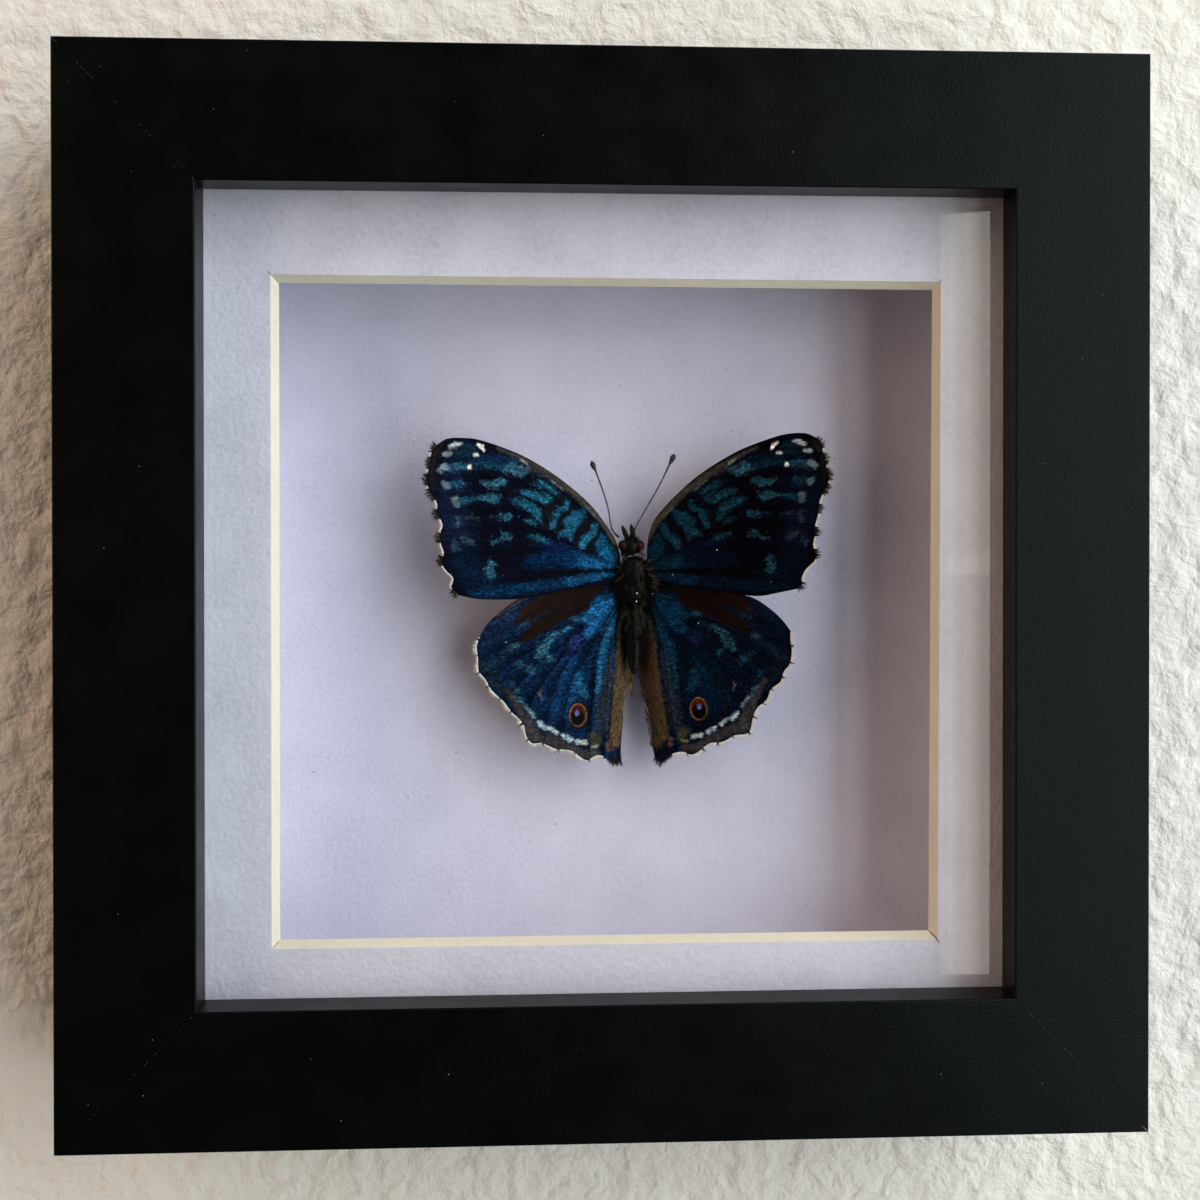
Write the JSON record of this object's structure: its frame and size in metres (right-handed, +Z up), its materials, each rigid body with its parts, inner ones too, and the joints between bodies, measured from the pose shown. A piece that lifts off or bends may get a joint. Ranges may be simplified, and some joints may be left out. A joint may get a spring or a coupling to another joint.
{
  "type": "framed butterfly specimen",
  "caption": "Blue butterfly set with wings spread on a pale card, behind glass and a bevelled mat in a square black box frame that hangs on a wall.",
  "frame": {"origin": "on the wall plane, behind the middle notch of the sawtooth hanger, 22 mm below the top of the frame", "axes": "+Z up, +X to the right seen from the front, the glass faces -Y and the rear rim of the frame lies on the plane Y = 0"},
  "size_m": [0.15, 0.032, 0.15],
  "materials": {
    "frame_paint": "satin black paint on wood",
    "picture_glass": "clear float glass",
    "mat_board": "pale lilac-grey paper face, cream core on the bevel",
    "foam_board": "white paper-faced foam",
    "lilac_card": "smooth pale lilac card",
    "hardboard": "brown hardboard",
    "zinc_steel": "zinc-plated pressed steel",
    "cork": "cork",
    "wing_scales": "blue and black scales on a dry wing",
    "body_hair": "black-brown hair with a green-grey cast",
    "antenna_horn": "dark horn"
  },
  "bodies": {
    "root": {"abdomen": "body_hair", "antenna_left": "antenna_horn", "antenna_right": "antenna_horn", "back_board": "hardboard", "backing_card": "lilac_card", "forewing_left": "wing_scales", "forewing_right": "wing_scales", "glass": "picture_glass", "hanger_nail_left": "zinc_steel", "hanger_nail_right": "zinc_steel", "hanger_plate": "zinc_steel", "head": "body_hair", "hindwing_left": "wing_scales", "hindwing_right": "wing_scales", "mat": "mat_board", "mounting_post": "cork", "palp_left": "body_hair", "palp_right": "body_hair", "rail_bottom": "frame_paint", "rail_left": "frame_paint", "rail_right": "frame_paint", "rail_top": "frame_paint", "spacer_bottom": "foam_board", "spacer_left": "foam_board", "spacer_right": "foam_board", "spacer_top": "foam_board", "tab_bottom_a": "zinc_steel", "tab_bottom_b": "zinc_steel", "tab_left_a": "zinc_steel", "tab_left_b": "zinc_steel", "tab_right_a": "zinc_steel", "tab_right_b": "zinc_steel", "tab_top_a": "zinc_steel", "tab_top_b": "zinc_steel", "thorax": "body_hair"}
  },
  "joints": []
}
